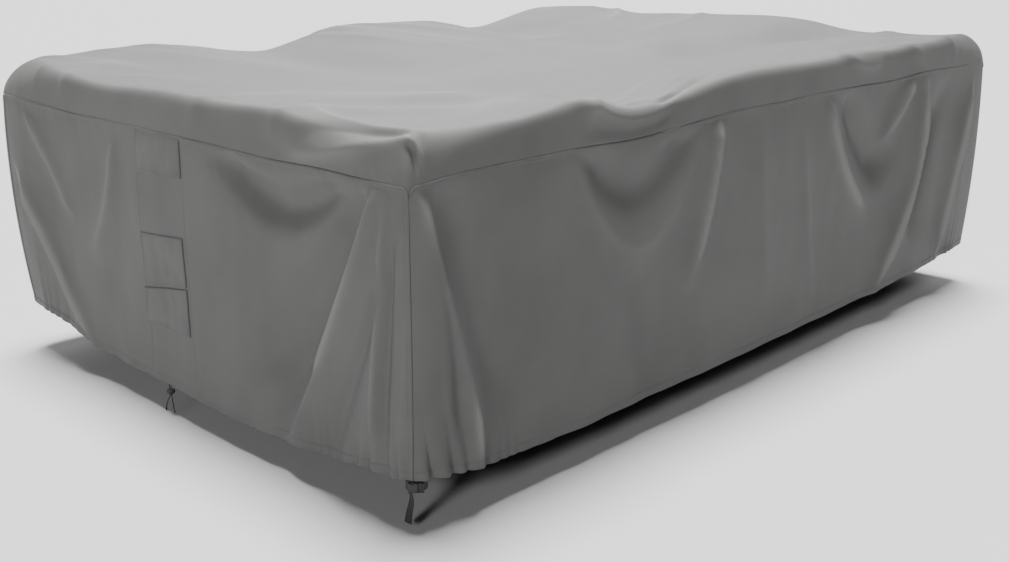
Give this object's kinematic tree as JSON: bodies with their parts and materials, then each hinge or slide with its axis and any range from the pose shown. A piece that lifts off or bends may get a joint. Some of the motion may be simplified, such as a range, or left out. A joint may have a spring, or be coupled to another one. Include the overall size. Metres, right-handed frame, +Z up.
{
  "type": "fitted patio furniture cover",
  "caption": "Fitted rectangular patio dining set cover: seamed top, four draped skirt panels, vent flaps on one end, hem cord lock and a corner leg strap.",
  "frame": {"origin": "where the middle of the furniture's top meets the underside of the cover's top panel, the point furniture_top", "axes": "+X along the cover's long sides, towards the end without vents; +Y across it; +Z up"},
  "size_m": [2.9596, 1.9971, 0.9703],
  "materials": {
    "cover_fabric": "grey coated polyester weave, matte with a faint sheen",
    "vent_fabric": "the cover's own grey coated polyester weave, doubled and stitched flat",
    "black_webbing": "black flat woven webbing",
    "black_cord": "black braided draw cord",
    "black_plastic": "black moulded plastic, satin"
  },
  "bodies": {
    "root": {"top_panel": "cover_fabric", "skirt_front": "cover_fabric", "skirt_back": "cover_fabric", "skirt_left": "cover_fabric", "skirt_right": "cover_fabric", "vent_flap_upper": "vent_fabric", "vent_patch": "vent_fabric", "vent_flap_lower": "vent_fabric", "cord_lock": "black_plastic", "draw_cord_left": "black_cord", "draw_cord_right": "black_cord", "cord_end_left": "black_cord", "cord_end_right": "black_cord", "cord_knot_left": "black_cord", "cord_knot_right": "black_cord", "strap_loop": "black_webbing", "strap_buckle": "black_plastic", "strap_tail": "black_webbing"}
  },
  "joints": []
}
